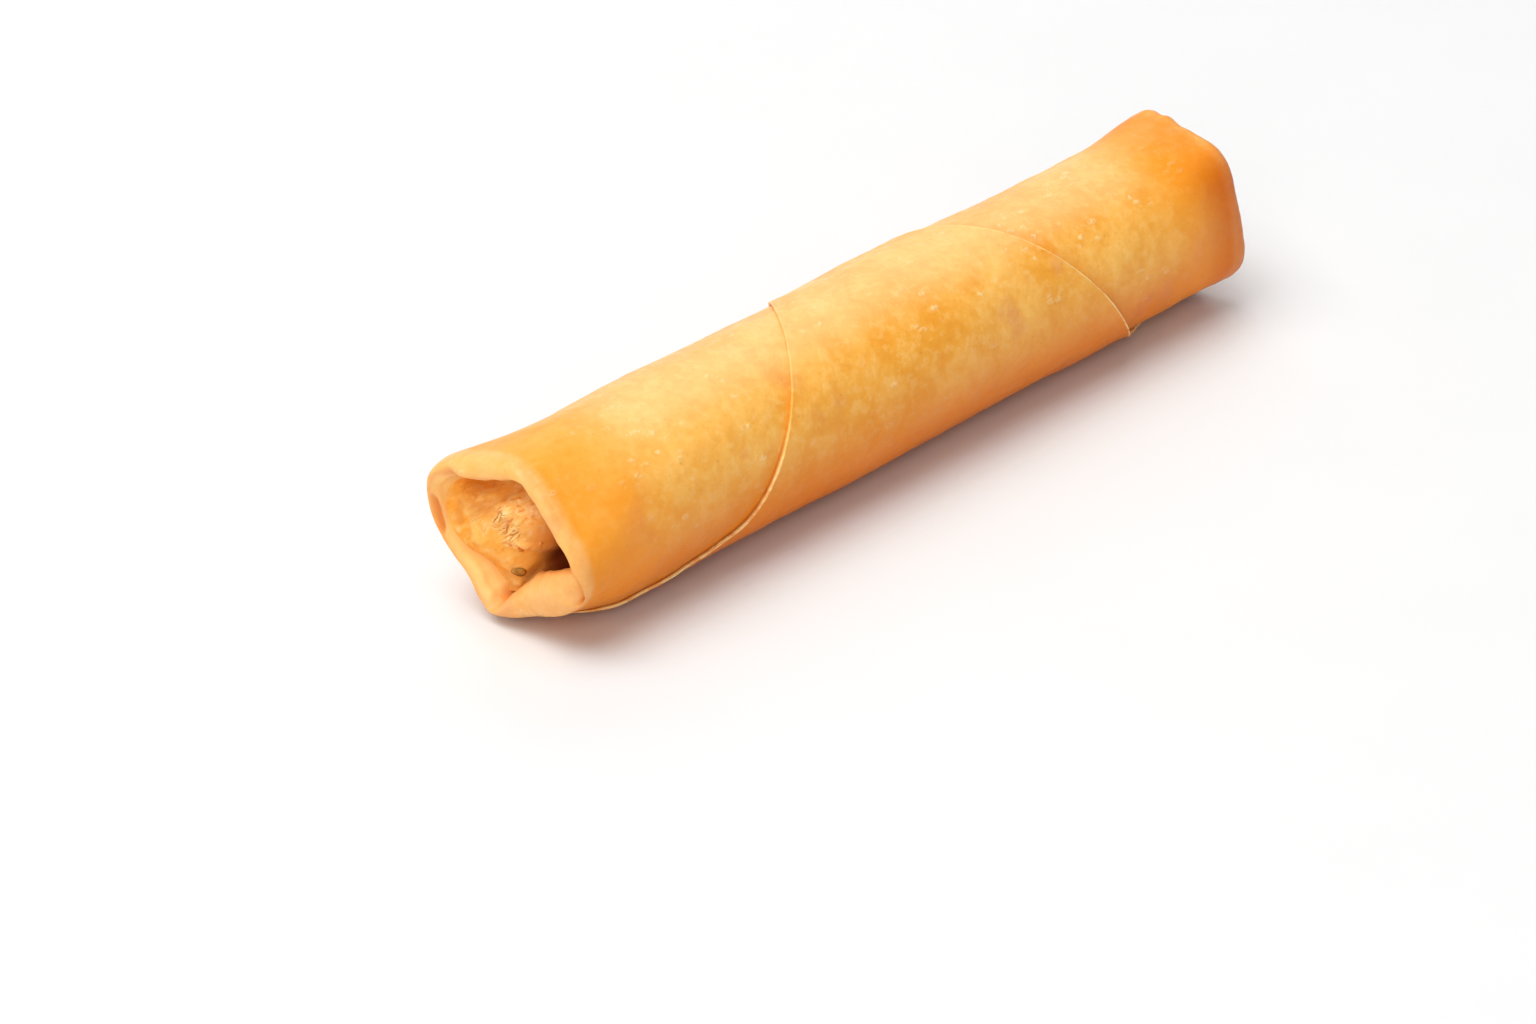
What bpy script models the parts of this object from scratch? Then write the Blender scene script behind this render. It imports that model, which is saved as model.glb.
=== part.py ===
"""Fried spring roll: a wrapper rolled round a minced filling, with both ends open.

Metres, +Z up. The roll lies along X on a narrow flat, and its front end is at -X.
Angles go round the roll in degrees, from the top towards -Y and on underneath.
The wrapper was rolled from a square sheet, corner first, so its last corner lies
outermost as a three-sided flap, and the flap's edges run slanting to the two ends.
"""

import bpy
import numpy as np

# Body of the roll
LENGTH = 0.1250            # from rim to rim
RADIUS_FRONT = 0.01285     # outermost layer at the front end
RADIUS_BACK = 0.01250      # outermost layer at the back end
SWELL = 0.00012            # slow rise and fall of the radius along the roll
SWELL_LENGTH = 0.043       # from one swelling to the next
REST_DROP = 0.01175        # the flat underneath lies this far below the middle line

# Wrapper
SHEET = 0.0005             # one layer, and so the height of the flap's edge
WALL = 0.0015              # all the layers together
CORNER_X = 0.0029          # place of the flap's corner along the roll
CORNER_ANGLE = -104.0      # place of the flap's corner round the roll
CORNER_ROUND = 0.0012      # rounding of the flap's corner
# Flap's edges: how far they have run round the roll, in degrees from the corner,
# at distances from the corner along the roll.
FRONT_EDGE = ((0.0, 0.0), (0.0343, 218.0), (0.0402, 230.0), (0.0471, 237.0), (0.0670, 258.0))
BACK_EDGE = ((0.0, 0.0), (0.0120, 79.0), (0.0390, 242.5), (0.0610, 300.0))

# Ends. Outlines are (degrees, radius) points that a smooth closed curve passes through.
END_BLEND = 0.012          # the round body turns into an end's outline over this length
RIM_BEND = 0.0014          # a rim's fold rounds over from the body in this length
RIM_DEPTH = 0.0008         # thickness of a rim's inner edge, along the roll
RIM_MIN = 0.0009           # least width of a rim
FRONT_RIM = ((-76, 0.0129), (-60, 0.0140), (-32, 0.0120), (8, 0.0114), (52, 0.0102),
             (97, 0.0128), (127, 0.0110), (158, 0.0096), (195, 0.0111), (225, 0.0100),
             (252, 0.0112))
FRONT_MOUTH = ((-68, 0.0121), (-35, 0.0094), (-8, 0.0091), (14, 0.0102), (25, 0.0093),
               (42, 0.0089), (62, 0.0092), (84, 0.0106), (96, 0.0080), (114, 0.0056),
               (138, 0.0047), (162, 0.0051), (183, 0.0070), (190, 0.0087), (196, 0.0098),
               (206, 0.0092), (225, 0.0088), (252, 0.0099))
BACK_RIM = ((-62, 0.0122), (-24, 0.0131), (-8, 0.0123), (14, 0.0118), (36, 0.0128),
            (62, 0.0114), (88, 0.0113), (118, 0.0126), (140, 0.0117), (162, 0.0121),
            (192, 0.0108), (224, 0.0122), (262, 0.0109))
BACK_MOUTH = ((-72, 0.0098), (-46, 0.0074), (-20, 0.0084), (4, 0.0103), (36, 0.0109),
              (62, 0.0096), (88, 0.0098), (118, 0.0112), (140, 0.0102), (162, 0.0104),
              (186, 0.0080), (216, 0.0069), (246, 0.0080), (266, 0.0095))
# How far a rim reaches out past the length
FRONT_REACH = ((-68, 0.0018), (-20, 0.0008), (30, 0.0), (98, 0.0004), (150, 0.0002),
               (195, 0.0006), (240, 0.0004))
BACK_REACH = ((-40, 0.0014), (10, 0.0), (70, 0.0004), (118, 0.0010), (180, 0.0),
              (224, 0.0009), (270, 0.0))
# The share of a rim's width, from outside, where its fold reaches out furthest
FRONT_CREST = ((-68, 0.30), (-42, 0.70), (10, 0.78), (60, 0.70), (88, 0.45), (104, 0.45),
               (140, 0.62), (178, 0.60), (200, 0.40), (250, 0.30))
BACK_CREST = ((-46, 0.55), (20, 0.45), (88, 0.50), (150, 0.45), (216, 0.60), (270, 0.45))
# How far a rim sinks back from its crest to the mouth's edge
FRONT_SINK = ((-68, 0.0012), (-42, 0.0006), (10, 0.0004), (60, 0.0005), (90, 0.0012),
              (140, 0.0012), (178, 0.0010), (205, 0.0012), (250, 0.0012))
BACK_SINK = ((-46, 0.0010), (20, 0.0004), (88, 0.0005), (150, 0.0004), (216, 0.0011),
             (270, 0.0005))

# Filling. Its ends are a forward middle and a further edge, with hollows where it has
# shrunk from the wrapper: each is a place (towards -Y, up) and two half widths, and a
# hollow has a turn in degrees and a depth as well. A mound is a hollow of depth below 0.
GAP = 0.0003               # between the filling and the wrapper
RECESS_MIDDLE = 0.0010     # depth of the filling's ends, at their middle
RECESS_EDGE = 0.0030       # depth of the filling's ends, beside the wrapper
FRONT_MIDDLE = ((-0.0012, 0.0010), (0.0064, 0.0052))
FRONT_HOLLOWS = (((0.0048, -0.0022), (0.0038, 0.0017), 14.0, 0.0048),
                 ((0.0062, 0.0018), (0.0018, 0.0030), 0.0, 0.0016),
                 ((-0.0090, 0.0034), (0.0022, 0.0017), 20.0, -0.0009))
BACK_MIDDLE = ((0.0, 0.0), (0.0070, 0.0064))
BACK_HOLLOWS = (((0.0035, -0.0061), (0.0026, 0.0026), 0.0, 0.0026),)
LUMP = 0.00025             # height of the filling's lumps
LUMP_LENGTH = 0.0068       # from one lump to the next

# Fineness of the faceted solids
RING_STEPS = 40
BODY_STEPS = 50
INNER_STEPS = 10
FILLING_STEPS = 9


def smooth_step(value):
    """0 below 0 and 1 above 1, with a smooth rise between."""
    share = np.clip(value, 0.0, 1.0)
    return share * share * (3.0 - 2.0 * share)


def closed_curve(points, degrees):
    """Radius at each angle, on the smooth closed curve through the outline's points."""
    angle, radius = np.array(points, dtype=float).T
    before = np.roll(angle, 1) - np.where(np.arange(len(angle)) == 0, 360.0, 0.0)
    after = np.roll(angle, -1) + np.where(np.arange(len(angle)) == len(angle) - 1, 360.0, 0.0)
    slope = (np.roll(radius, -1) - np.roll(radius, 1)) / (after - before)
    turned = (np.asarray(degrees) - angle[0]) % 360.0 + angle[0]
    low = np.searchsorted(angle, turned, side="right") - 1
    high = (low + 1) % len(angle)
    span = after[low] - angle[low]
    share = (turned - angle[low]) / span
    rise = share * share * (3.0 - 2.0 * share)
    leave = share * (1.0 - share) ** 2
    arrive = share * share * (share - 1.0)
    return (radius[low] + (radius[high] - radius[low]) * rise
            + span * (slope[low] * leave + slope[high] * arrive))


def edge_turn(x):
    """How far round the roll, from its corner, the flap's edge has run at x."""
    away = np.hypot(x - CORNER_X, CORNER_ROUND) - CORNER_ROUND
    points = FRONT_EDGE if x < CORNER_X else BACK_EDGE
    reach, turn = np.array(points).T
    return float(np.interp(away, reach, turn))


def end_blend(x, end):
    """1 at an end's rim, falling to 0 on the round body."""
    return smooth_step(1.0 - (LENGTH / 2 - end * x) / END_BLEND)


def layer_drop(x, turn):
    """How far the spiral of the wrapper has sunk after this many degrees from the corner."""
    blend = end_blend(x, -1) + end_blend(x, 1)
    return SHEET * turn / 360.0 * (1.0 - 0.8 * blend)


def outer_radius(x, degrees, turn):
    """Radius of the wrapper's outside, turn being the angle run since the flap's corner."""
    share = x / LENGTH + 0.5
    body = RADIUS_FRONT + (RADIUS_BACK - RADIUS_FRONT) * share
    body = body + SWELL * np.sin(2.0 * np.pi * x / SWELL_LENGTH + np.radians(degrees))
    front = closed_curve(FRONT_RIM, degrees) - body
    back = closed_curve(BACK_RIM, degrees) - body
    return body + end_blend(x, -1) * front + end_blend(x, 1) * back - layer_drop(x, turn)


def rim_width(end, degrees):
    """Width of a rim, from its outside to the edge of its mouth."""
    rim, mouth = (FRONT_RIM, FRONT_MOUTH) if end < 0 else (BACK_RIM, BACK_MOUTH)
    width = closed_curve(rim, degrees) - closed_curve(mouth, degrees)
    return np.maximum(width, RIM_MIN)


def inner_radius(x, degrees):
    """Radius of the wrapper's inside."""
    wall = np.full_like(degrees, WALL)
    for end in (-1, 1):
        thin = np.minimum(rim_width(end, degrees), WALL)
        wall += end_blend(x, end) * (thin - WALL)
    return outer_radius(x, degrees, 0.0) - SHEET - wall


def place(x, degrees, radius):
    """Points at these angles and radii on the section at x."""
    angle = np.radians(degrees)
    depth = np.broadcast_to(x, angle.shape)
    return np.stack([depth, -radius * np.sin(angle), radius * np.cos(angle)], axis=-1)


def ring_angles(start):
    """Angles of a ring that goes once round from the flap's edge, and its turns from the corner."""
    turn = start + 360.0 * np.arange(RING_STEPS + 1) / RING_STEPS
    return turn + CORNER_ANGLE, turn


def inside_angles(x):
    """Angles of a ring inside the wrapper, turning evenly from one rim's ring to the other's."""
    share = x / LENGTH + 0.5
    front, back = edge_turn(-LENGTH / 2), edge_turn(LENGTH / 2)
    return ring_angles(front + (back - front) * share)


def body_rings():
    """The wrapper's outside, from front to back, flattened where it rests."""
    rings = []
    half = LENGTH / 2 - RIM_BEND
    for x in np.linspace(-half, half, BODY_STEPS + 1):
        degrees, turn = ring_angles(edge_turn(x))
        ring = place(x, degrees, outer_radius(x, degrees, turn))
        ring[:, 2] = np.maximum(ring[:, 2], -REST_DROP)
        rings.append(ring)
    return rings


def throat_radius(end, degrees, turn):
    """Radius of the wrapper's inside just behind a rim."""
    inner = inner_radius(end * (LENGTH / 2 - RIM_BEND), degrees)
    outside = outer_radius(end * LENGTH / 2, degrees, turn)
    return np.maximum(inner - SHEET * turn / 3600.0, outside - rim_width(end, degrees))


def rim_sink(end, degrees):
    """Depth of the mouth's edge behind the roll's length."""
    sink = closed_curve(FRONT_SINK if end < 0 else BACK_SINK, degrees)
    return sink - closed_curve(FRONT_REACH if end < 0 else BACK_REACH, degrees)


def rim_rings(end):
    """A rim, from the outside of the wrapper over its fold and into the mouth."""
    degrees, turn = ring_angles(edge_turn(end * LENGTH / 2))
    outside = outer_radius(end * LENGTH / 2, degrees, turn)
    width = rim_width(end, degrees)
    crest = width * closed_curve(FRONT_CREST if end < 0 else BACK_CREST, degrees)
    reach = closed_curve(FRONT_REACH if end < 0 else BACK_REACH, degrees)
    sunk = rim_sink(end, degrees)
    stages = []
    for angle in np.radians((30.0, 60.0, 90.0)):
        depth = RIM_BEND - (RIM_BEND + reach) * np.sin(angle)
        stages.append((depth, outside - crest * (1.0 - np.cos(angle))))
    for share in (0.6, 1.0):
        radius = outside - crest - (width - crest) * share
        stages.append(((sunk + reach) * share ** 2 - reach, radius))
    stages.append((sunk + RIM_DEPTH, outside - width))
    stages.append((sunk + 2.0 * RIM_DEPTH, throat_radius(end, degrees, turn)))
    return [place(end * (LENGTH / 2 - depth), degrees, radius) for depth, radius in stages]


def inner_rings():
    """The wrapper's inside, from back to front."""
    rings = []
    half = LENGTH / 2 - 0.6 * END_BLEND
    for x in np.linspace(half, -half, INNER_STEPS + 1):
        degrees, turn = inside_angles(x)
        rings.append(place(x, degrees, inner_radius(x, degrees) - SHEET * turn / 3600.0))
    return rings


def offsets(across, above, centre, size, turned):
    """Distance from a centre, as a share of two half widths that may be turned."""
    angle = np.radians(turned)
    right, up = across - centre[0], above - centre[1]
    return np.hypot((right * np.cos(angle) + up * np.sin(angle)) / size[0],
                    (up * np.cos(angle) - right * np.sin(angle)) / size[1])


def recess(end, degrees, radius):
    """Depth of the filling's end behind the rim: a forward middle, lumps and hollows."""
    across = radius * np.sin(np.radians(degrees))
    above = radius * np.cos(np.radians(degrees))
    middle = offsets(across, above, *(FRONT_MIDDLE if end < 0 else BACK_MIDDLE), 0.0)
    depth = RECESS_MIDDLE + (RECESS_EDGE - RECESS_MIDDLE) * smooth_step((middle - 0.62) / 0.6)
    wave = 2.0 * np.pi / LUMP_LENGTH
    depth += LUMP * np.sin(wave * across + 0.7 * end) * np.cos(wave * above + 1.9)
    for centre, size, turned, sunk in FRONT_HOLLOWS if end < 0 else BACK_HOLLOWS:
        depth += sunk * np.exp(-offsets(across, above, centre, size, turned) ** 2)
    return depth


def filling_end_rings(end):
    """An end of the filling, from beside the wrapper to near its middle."""
    degrees, turn = (values[:-1] for values in inside_angles(end * LENGTH / 2))
    mouth = closed_curve(FRONT_MOUTH if end < 0 else BACK_MOUTH, degrees)
    behind_lip = rim_sink(end, degrees) + 2.0 * RIM_DEPTH + 2.0 * GAP
    edge = throat_radius(end, degrees, turn) - 2.0 * GAP
    inside_mouth = np.minimum(mouth - 2.0 * GAP, edge - 2.0 * GAP)
    rings = []
    for share, blend in ((1.0, 1.0), (0.88, 0.5), (0.72, 0.0), (0.54, 0.0), (0.36, 0.0),
                         (0.2, 0.0), (0.06, 0.0)):
        radius = inside_mouth * share
        depth = recess(end, degrees, radius)
        depth += blend * np.maximum(behind_lip - depth, 0.0)
        rings.append(place(end * (LENGTH / 2 - depth), degrees, radius))
    depth = np.maximum(recess(end, degrees, edge), behind_lip)
    rings.insert(0, place(end * (LENGTH / 2 - depth), degrees, edge))
    return rings


def filling_rings():
    """The filling's whole surface, from its front middle to its back middle."""
    half = LENGTH / 2 - 0.75 * END_BLEND
    rings = filling_end_rings(-1)[::-1]
    for x in np.linspace(-half, half, FILLING_STEPS + 1):
        degrees = inside_angles(x)[0][:-1]
        rings.append(place(x, degrees, inner_radius(x, degrees) - 2.0 * GAP))
    return rings + filling_end_rings(1)


def loft(rings, closed):
    """Triangles that join each ring to the next: a closed tube, or one with capped ends."""
    size = len(rings[0])
    count = len(rings)
    faces = []
    for low in range(count if closed else count - 1):
        high = (low + 1) % count
        for step in range(size):
            after = (step + 1) % size
            near, near_after = low * size + step, low * size + after
            far, far_after = high * size + step, high * size + after
            rising = np.linalg.norm(rings[low][step] - rings[high][after])
            falling = np.linalg.norm(rings[low][after] - rings[high][step])
            if rising < falling:
                faces += [(near, near_after, far_after), (near, far_after, far)]
            else:
                faces += [(near, near_after, far), (near_after, far_after, far)]
    if not closed:
        faces.append(tuple(range(size))[::-1])
        faces.append(tuple((count - 1) * size + step for step in range(size)))
    return faces


def material(name, colour, roughness):
    """A plain finish."""
    finish = bpy.data.materials.new(name)
    finish.use_nodes = True
    shader = finish.node_tree.nodes["Principled BSDF"]
    shader.inputs["Base Color"].default_value = (*colour, 1.0)
    shader.inputs["Roughness"].default_value = roughness
    shader.inputs["Metallic"].default_value = 0.0
    return finish


def add_solid(name, points, faces, finish, collection):
    """A named solid, shaded smooth but for its sharp edges."""
    mesh = bpy.data.meshes.new(name)
    mesh.from_pydata(points.tolist(), [], faces)
    mesh.materials.append(finish)
    mesh.shade_smooth()
    mesh.set_sharp_from_angle(angle=np.radians(40.0))
    solid = bpy.data.objects.new(name, mesh)
    collection.objects.link(solid)
    return solid


def main():
    for old in list(bpy.data.objects):
        bpy.data.objects.remove(old, do_unlink=True)
    collection = bpy.data.collections.new("spring_roll")
    bpy.context.scene.collection.children.link(collection)

    wrapper = body_rings() + rim_rings(1) + inner_rings() + rim_rings(-1)[::-1]
    filling = filling_rings()
    wrapper_points = np.concatenate(wrapper)
    low, high = wrapper_points.min(axis=0), wrapper_points.max(axis=0)
    origin = np.array([(low[0] + high[0]) / 2, (low[1] + high[1]) / 2, low[2]])

    add_solid("wrapper", wrapper_points - origin, loft(wrapper, closed=True),
              material("fried_wrapper", (0.80, 0.42, 0.12), 0.42), collection)
    add_solid("filling", np.concatenate(filling) - origin, loft(filling, closed=False),
              material("minced_filling", (0.50, 0.24, 0.10), 0.50), collection)


main()
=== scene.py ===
"""Looks of a fried spring roll: a blistered golden wrapper round a moist minced filling.

Metres, +Z up. The roll lies along X with its front end at -X. Angles go round the roll
in degrees, from the top towards -Y and on underneath.
"""

import math

import bmesh
import bpy
import numpy as np
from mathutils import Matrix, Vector, noise


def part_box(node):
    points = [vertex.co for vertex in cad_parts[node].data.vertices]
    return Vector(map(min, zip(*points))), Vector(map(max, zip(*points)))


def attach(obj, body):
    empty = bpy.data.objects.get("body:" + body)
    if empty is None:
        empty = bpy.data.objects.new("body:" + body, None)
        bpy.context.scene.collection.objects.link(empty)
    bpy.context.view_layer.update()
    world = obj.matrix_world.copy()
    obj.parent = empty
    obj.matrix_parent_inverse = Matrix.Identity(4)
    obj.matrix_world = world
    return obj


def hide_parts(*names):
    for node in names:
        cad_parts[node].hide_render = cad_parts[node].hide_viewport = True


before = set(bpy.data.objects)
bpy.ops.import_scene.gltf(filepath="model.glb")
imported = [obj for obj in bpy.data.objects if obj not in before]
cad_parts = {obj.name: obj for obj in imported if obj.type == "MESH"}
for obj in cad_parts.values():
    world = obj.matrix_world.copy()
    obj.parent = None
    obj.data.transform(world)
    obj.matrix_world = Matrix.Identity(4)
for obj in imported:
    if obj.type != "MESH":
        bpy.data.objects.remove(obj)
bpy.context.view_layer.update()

wrapper_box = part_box("wrapper")

# Body of the roll
LENGTH = 0.1250            # from rim to rim
RADIUS_FRONT = 0.01285     # outermost layer at the front end
RADIUS_BACK = 0.01250      # outermost layer at the back end
SWELL = 0.00012            # slow rise and fall of the radius along the roll
SWELL_LENGTH = 0.043       # from one swelling to the next
REST_DROP = 0.01175        # the flat underneath lies this far below the middle line

# Wrapper
SHEET = 0.0005             # one layer, and so the height of the flap's edge
SHEET_THICK = 0.00042      # the layer itself, a little less than its step
WALL = 0.0015              # all the layers together
CORNER_X = 0.0029          # place of the flap's corner along the roll
CORNER_ANGLE = -104.0      # place of the flap's corner round the roll
CORNER_ROUND = 0.0012      # rounding of the flap's corner
EDGE_SMOOTH = 0.0016       # the flap's edges bend over this length
SEAM_REACH = 10.0          # mm from the flap's edge beyond which the finish doesn't feel it
EDGE_SLANT = 0.80          # straight across to a slanting edge, as a share of the way round to it
TIP_X = 0.0410             # the flap's edge stands off most here, at the near side
TIP_LIFT = 0.00045
TIP_LENGTH = 0.0045
EDGE_CURL = 0.00003        # how unevenly the edge curls up elsewhere
LEAST_CURL = 0.00001
CURL_FADE = 4.0            # degrees from the edge in which its curl dies away
UNDER_FLAP = 361.4         # degrees from the flap's edge to where the layer below is hidden
# The sheet's cut edge: degrees from the edge, and layers below the flap's outside
CUT_EDGE = ((362.0, -0.03), (360.5, 0.98), (359.7, 0.86), (359.45, 0.50), (359.6, 0.12), (360.1, 0.01))
# How far the flap's edges have run round the roll, in degrees, at distances from its corner
FRONT_EDGE = ((0.0, 0.0), (0.0343, 218.0), (0.0402, 230.0), (0.0471, 237.0), (0.0670, 258.0))
BACK_EDGE = ((0.0, 0.0), (0.0120, 79.0), (0.0390, 242.5), (0.0610, 300.0))

# Ends. Outlines are (degrees, radius) points that a smooth closed curve passes through.
END_BLEND = 0.012          # the round body turns into an end's outline over this length
RIM_BEND = 0.0014          # a rim's fold rounds over from the body in this length
FOLD_SHARE = 0.45          # share of a rim's rings that go to that rounding
RIM_LEAN = 0.35            # a folded lip is this much thicker than a rim's edge, as a share of its width
RIM_DEPTH = 0.0008         # thickness of a rim's inner edge, along the roll
RIM_MIN = 0.0009           # least width of a rim
RIM_TAPER = 0.0001         # a rim's inner edge closes in by this much
FUNNEL_SLOPE = 0.0012      # the far wall slopes in by this much
THROAT_LENGTH = 0.6        # as a share of END_BLEND
FRONT_RIM = ((-76, 0.0129), (-60, 0.0140), (-32, 0.0120), (8, 0.0114), (52, 0.0102), (97, 0.0128),
             (127, 0.0110), (158, 0.0096), (195, 0.0111), (225, 0.0100), (252, 0.0112))
FRONT_MOUTH = ((-68, 0.0121), (-35, 0.0094), (-8, 0.0091), (14, 0.0102), (25, 0.0093), (42, 0.0089),
               (62, 0.0092), (84, 0.0106), (96, 0.0080), (114, 0.0056), (138, 0.0047),
               (162, 0.0051), (183, 0.0070), (190, 0.0087), (196, 0.0098), (206, 0.0092),
               (225, 0.0088), (252, 0.0099))
BACK_RIM = ((-62, 0.0122), (-26, 0.0135), (-8, 0.0128), (14, 0.0124), (36, 0.0131),
            (62, 0.0117), (88, 0.0114), (118, 0.0126), (140, 0.0117), (162, 0.0121),
            (192, 0.0108), (224, 0.0122), (262, 0.0109))
BACK_MOUTH = ((-72, 0.0098), (-46, 0.0074), (-20, 0.0084), (4, 0.0103), (36, 0.0109),
              (62, 0.0096), (88, 0.0098), (118, 0.0112), (140, 0.0102), (162, 0.0104),
              (186, 0.0080), (216, 0.0069), (246, 0.0080), (266, 0.0095))
# How far a rim reaches out past the length
FRONT_REACH = ((-68, 0.0018), (-20, 0.0008), (30, 0.0), (98, 0.0004), (150, 0.0002),
               (195, 0.0006), (240, 0.0004))
BACK_REACH = ((-40, 0.0014), (10, 0.0), (70, 0.0004), (118, 0.0010), (180, 0.0),
              (224, 0.0009), (270, 0.0))
# The share of a rim's width, from outside, where its fold reaches out furthest
FRONT_CREST = ((-68, 0.30), (-42, 0.70), (10, 0.78), (60, 0.70), (88, 0.45), (104, 0.45),
               (140, 0.52), (178, 0.52), (200, 0.40), (250, 0.30))
BACK_CREST = ((-46, 0.55), (20, 0.45), (88, 0.50), (150, 0.45), (216, 0.60), (270, 0.45))
# How far a rim sinks back from its crest to the mouth's edge
FRONT_SINK = ((-68, 0.0012), (-42, 0.0006), (10, 0.0004), (60, 0.0005), (90, 0.0012),
              (112, 0.0018), (140, 0.0024), (178, 0.0020), (205, 0.0012), (250, 0.0012))
BACK_SINK = ((-46, 0.0010), (20, 0.0004), (88, 0.0005), (150, 0.0004), (216, 0.0011), (270, 0.0005))
CRUMPLE = 0.00028          # unevenness of the rims
# Puckers on the outside of the back end: (degrees, half width in degrees, height)
KNOBS = ((-21, 5.0, 0.00032), (-8, 3.5, 0.00030), (2, 4.0, -0.00018))
KNOB_LENGTH = 0.0045

# Pleats of the front rim. An arc is (from, degrees of its rise, to, degrees of its fall).
TUCK_ARC = (79.0, 5.0, 114.0, 10.0)
TUCK_DEPTH = 0.0015        # the bottom lip is tucked this far behind the near rim
TUCK_SPREAD = 0.0018
TUCK_STEP = 0.00035        # it drops behind the near rim over this width
CREASE_AT = 0.0003         # the dark crease lies this far beyond the near rim
CREASE_WIDTH = 0.00034
NEAR_RIM = 0.00095         # width of the near rim
NEAR_END = 104.0           # where it has narrowed to nothing
NEAR_TAPER = 20.0          # in this many degrees
LIP_FROM = 84.0            # start of the bottom lip's curled edge
CORNER_DENT = (-50.0, 5.0, 0.0022, 0.0010, 0.0008)   # (degrees, spread, inwards, spread, depth)
LAYER_ARC = (-104.0, 8.0, -72.0, 8.0)
LAYER_GROOVE = 0.0006      # depth of the gap in front of an inner layer's edge, on the far wall
LAYER_INWARDS = 0.0007
LAYER_WIDTH = 0.00018
# The far wall slopes straight into the front end, with no lip.
FAR_WALL_ARC = (194.0, 12.0, 312.0, 14.0)

# Filling. Places on an end are (towards -Y, up) from the middle of the section, sizes are
# half widths, and a hollow, mound or patch of painted shade is (place, size, slope in degrees, strength).
GAP = 0.0003               # between the filling and the wrapper
FRONT_LAY = 44.0           # slope of the torn fibres
BACK_LAY = 58.0
LAY_SPREAD = 14.0
FRONT_DOME = (-0.0012, 0.0010)     # the front end bulges most here
DOME_LEFT, DOME_RIGHT = 0.0170, 0.0064
DOME_DOWN, DOME_UP = 0.0064, 0.0052
FRONT_DEPTH, FRONT_FALL = 0.0008, 0.0024       # depth of the bulge, and its fall to the edge
BACK_DOME = (0.0070, 0.0064)
BACK_DEPTH, BACK_FALL = 0.0014, 0.0016
GROOVE_MIDDLE = (-0.0044, 0.0036)
HOLLOWS = (((0.0052, -0.0018), (0.0042, 0.0022), 14.0, 0.0050),
           ((0.0066, 0.0018), (0.0020, 0.0034), 0.0, 0.0020),
           (GROOVE_MIDDLE, (0.0034, 0.0008), FRONT_LAY, 0.0007))
MOUNDS = (((-0.0068, 0.0038), (0.0024, 0.0013), 20.0, 0.0006),
          ((0.0004, 0.0046), (0.0030, 0.0018), 20.0, 0.0006),
          ((0.0022, 0.0005), (0.0024, 0.0007), -8.0, 0.0009))
# Patches of painted shade on the filling: beside the near rim, under the top rim and low down, at both
# ends
SHADES = (((0.0057, 0.0012), (0.0040, 0.0050), 0.0, 1.0),
          ((0.0044, -0.0038), (0.0026, 0.0018), 0.0, 0.7),
          ((-0.0030, 0.0084), (0.0068, 0.0018), -8.0, 0.6),
          ((-0.0012, -0.0026), (0.0034, 0.0020), 0.0, 0.2))
# Size of the painted shade in the groove
GROOVE_SHADE_SIZE = (0.0038, 0.0010)
BACK_HOLLOW = (150.0, 0.0070)      # (degrees, radius)
HOLLOW_DEPTH = 0.0026
HOLLOW_RADIUS = 0.0026
MENISCUS = 0.0003          # the filling creeps up the far wall by this much
CREEP = 0.0002             # and reaches this far into it
SHALLOWEST = 0.0002        # no part of the filling is less deep than this
TORN_MIDDLE = (-0.0002, 0.0043)
TORN_SIZE = (0.0050, 0.0026)
TORN_SLOPE = 30.0
RIDGE_HEIGHT = 0.00024
LEAF_MIDDLE = (-0.0006, -0.0047)
LEAF_SIZE = (0.0013, 0.0007)
LEAF_SLOPE = 42.0
LEAF_THICK = 0.00035
BITS = 16                  # at each end
BIT_REACH = 0.0078
BIT_SIZES = (0.00018, 0.00048)
STRANDS = 40               # at each end
STRAND_LENGTHS = (0.0022, 0.0052)
STRAND_RADII = (0.00011, 0.00021)
STRAND_MARGIN = 0.0012     # a strand keeps this far inside the mouth

# Fineness
RING_STEPS = 320
BODY_STEPS = 196
RIM_STEPS = 34
THROAT_STEPS = 10
FILLING_RING = 240
FILLING_END_STEPS = 76
STRAND_SIDES = 8
STRAND_STEPS = 16

# Floor, a disc whose edge sweeps up
FLOOR_RADIUS = 1.20
COVE_RADIUS = 0.14
COVE_HEIGHT = 0.26
COVE_STEPS = 12
FLOOR_SIDES = 128

# View
CAMERA_FROM_FRONT = 46.5   # degrees from the roll's side towards its front end
CAMERA_RISE = 30.0
CAMERA_AWAY = 0.800
CAMERA_SHIFT_RIGHT = 0.011609
CAMERA_SHIFT_UP = 0.018431
CAMERA_LENS = 147.5


# ---------------------------------------------------------------- shape helpers

def smooth_step(value):
    """0 below 0 and 1 above 1, with a smooth rise between."""
    share = np.clip(value, 0.0, 1.0)
    return share * share * (3.0 - 2.0 * share)


def arc_mask(degrees, arc):
    """1 along an arc of (from, degrees of its rise, to, degrees of its fall), 0 outside it."""
    low, rise, high, fall = arc
    return smooth_step((degrees - low) / rise) * smooth_step((high - degrees) / fall)


def signed(degrees):
    """The same angle, from -180 to 180."""
    return (degrees + 180.0) % 360.0 - 180.0


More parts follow.
